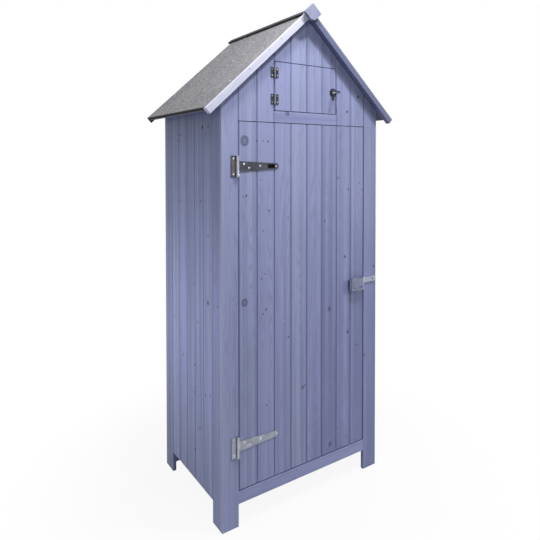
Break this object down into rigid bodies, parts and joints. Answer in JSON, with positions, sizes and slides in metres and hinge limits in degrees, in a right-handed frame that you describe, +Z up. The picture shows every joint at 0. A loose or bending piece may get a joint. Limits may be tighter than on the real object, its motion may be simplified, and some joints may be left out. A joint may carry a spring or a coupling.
{
  "type": "garden storage cabinet",
  "caption": "Narrow hut-shaped garden tool cabinet of stained vertical boards with a steep felted roof, a tall strap-hinged door and a small loft door.",
  "frame": {"origin": "centre of the bottom of the bounding box, on the ground under the four feet", "axes": "+Z up, +X to the viewer's right when facing the doors, +Y to the back; the doors face -Y"},
  "size_m": [0.785, 0.586, 1.7076],
  "materials": {
    "stained_boards": "lilac-blue wood stain, satin",
    "inner_battens": "thin lilac-blue wood stain, matt",
    "roof_panels": "thin lilac-blue wood stain, matt",
    "roof_felt": "bitumen felt with grey mineral grit, matt",
    "ridge_strip": "dark bitumen, matt",
    "zinc_steel": "zinc plated, satin",
    "dark_steel": "dark passivated steel, satin"
  },
  "bodies": {
    "cabinet": {"front_left_post_face": "stained_boards", "front_left_post_side": "stained_boards", "front_right_post_face": "stained_boards", "front_right_post_side": "stained_boards", "back_left_post_face": "stained_boards", "back_left_post_side": "stained_boards", "back_right_post_face": "stained_boards", "back_right_post_side": "stained_boards", "left_wall_boards": "stained_boards", "right_wall_boards": "stained_boards", "back_wall_boards": "stained_boards", "front_gable_left_boards": "stained_boards", "front_gable_right_boards": "stained_boards", "front_gable_top_boards": "stained_boards", "header_board": "stained_boards", "left_barge_board": "stained_boards", "right_barge_board": "stained_boards", "apex_block": "stained_boards", "front_bottom_rail": "stained_boards", "door_lintel": "inner_battens", "loft_head_rail": "inner_battens", "back_bottom_rail": "inner_battens", "left_bottom_rail": "inner_battens", "right_bottom_rail": "inner_battens", "left_loft_rail": "inner_battens", "right_loft_rail": "inner_battens", "back_loft_rail": "inner_battens", "front_left_rafter": "inner_battens", "front_right_rafter": "inner_battens", "back_left_rafter": "inner_battens", "back_right_rafter": "inner_battens", "ridge_beam": "inner_battens", "floor_boards": "inner_battens", "loft_floor_boards": "inner_battens", "divider_posts": "inner_battens", "shelf_bearers": "inner_battens", "shelf_1": "inner_battens", "shelf_2": "inner_battens", "shelf_3": "inner_battens", "left_roof_panel": "roof_panels", "right_roof_panel": "roof_panels", "left_roof_felt": "roof_felt", "right_roof_felt": "roof_felt", "ridge_capping": "ridge_strip", "t_hinge_plates": "zinc_steel", "t_hinge_pins": "zinc_steel", "butt_hinge_frame_leaves": "dark_steel", "butt_hinge_pins": "dark_steel"},
    "main_door": {"main_door_boards": "stained_boards", "main_door_ledges": "inner_battens", "main_door_braces": "inner_battens", "t_hinge_straps": "zinc_steel", "main_hasp_base": "zinc_steel", "main_hasp_pin": "zinc_steel"},
    "main_hasp_leaf": {"main_hasp_leaf": "zinc_steel"},
    "small_door": {"small_door_boards": "stained_boards", "small_door_ledges": "inner_battens", "butt_hinge_door_leaves": "dark_steel", "small_latch_plate": "dark_steel"},
    "small_latch": {"small_latch_loop": "zinc_steel"}
  },
  "joints": [
    {"name": "main_door_hinge", "type": "hinge", "parent": "cabinet", "child": "main_door", "pos_m": [-0.275, -0.2603, 0.709], "axis": [0, 0, -1], "range_deg": [0, 170]},
    {"name": "main_hasp_hinge", "type": "hinge", "parent": "main_door", "child": "main_hasp_leaf", "pos_m": [0.1975, -0.2628, 0.7165], "axis": [0, 0, -1], "range_deg": [0, 90]},
    {"name": "small_door_hinge", "type": "hinge", "parent": "cabinet", "child": "small_door", "pos_m": [-0.13275, -0.2581, 1.42275], "axis": [0, 0, -1], "range_deg": [0, 150]},
    {"name": "small_latch_turn", "type": "hinge", "parent": "small_door", "child": "small_latch", "pos_m": [0.117, -0.255, 1.418], "axis": [0, -1, 0], "range_deg": [0, 90]}
  ]
}
